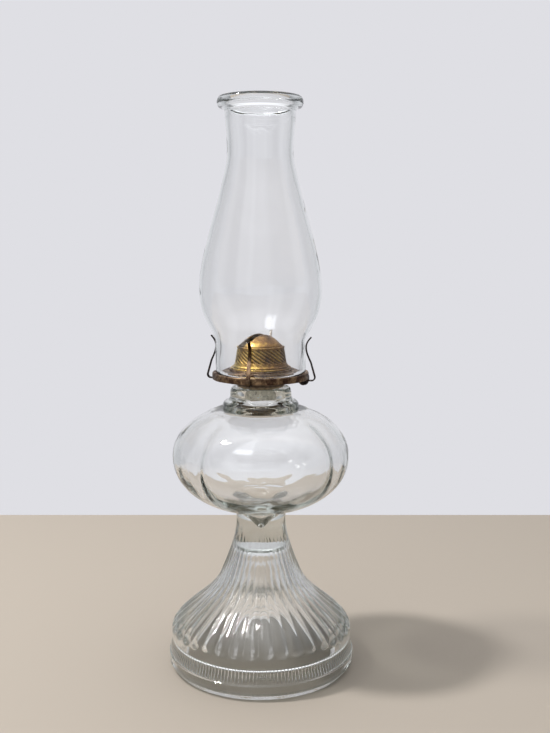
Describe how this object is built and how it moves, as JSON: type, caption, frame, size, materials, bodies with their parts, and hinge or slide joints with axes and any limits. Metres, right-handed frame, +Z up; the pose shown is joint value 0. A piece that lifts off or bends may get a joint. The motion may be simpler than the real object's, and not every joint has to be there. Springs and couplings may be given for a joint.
{
  "type": "kerosene lamp",
  "caption": "Clear glass kerosene table lamp: fluted hollow foot, round font, flat-wick brass burner with spring prongs and thumb wheel, baluster chimney.",
  "frame": {"origin": "centre of the foot's rest ring, on the surface the lamp stands on", "axes": "+Z up along the lamp's axis, -Y to the picture's camera, +X to the picture's right"},
  "size_m": [0.134, 0.134, 0.4035],
  "materials": {
    "foot_glass": "clear pressed soda glass, fire polished",
    "font_glass": "clear moulded soda glass, fire polished",
    "chimney_glass": "clear blown glass",
    "dark_brass": "brass with a dark brown patina",
    "brass": "worn golden brass with tarnish",
    "blackened": "blackened spring brass",
    "cotton": "woven cotton, charred at the top edge"
  },
  "bodies": {
    "lamp": {"pedestal_base": "foot_glass", "font": "font_glass"},
    "burner": {"burner_body": "dark_brass", "air_screen": "brass", "wick_tube": "brass", "vent_tube": "brass", "wheel_housing": "brass", "spindle_sleeve": "brass", "gallery": "dark_brass", "deflector": "brass", "prong_front": "blackened", "prong_right": "blackened", "prong_back": "blackened", "prong_left": "blackened"},
    "winder": {"wick_spindle": "brass", "spur_wheel_inner": "brass", "spur_wheel_outer": "brass", "wick_knob": "blackened"},
    "wick": {"wick": "cotton"},
    "chimney": {"chimney": "chimney_glass"}
  },
  "joints": [
    {"name": "burner_lift", "type": "slide", "parent": "lamp", "child": "burner", "axis": [0, 0, 1], "range_m": [0, 0.05]},
    {"name": "wick_turn", "type": "hinge", "parent": "burner", "child": "winder", "pos_m": [0.00254, -0.00303, 0.207], "axis": [0.766, 0.6428, 0], "range_deg": [-112, 112]},
    {"name": "wick_raise", "type": "slide", "parent": "burner", "child": "wick", "axis": [0, 0, 1], "range_m": [-0.006, 0.006]},
    {"name": "chimney_lift", "type": "slide", "parent": "burner", "child": "chimney", "axis": [0, 0, 1], "range_m": [0, 0.045]}
  ],
  "couplings": [
    {"joint": "wick_turn", "follows": "wick_raise", "rad_per_m": 322.58}
  ]
}
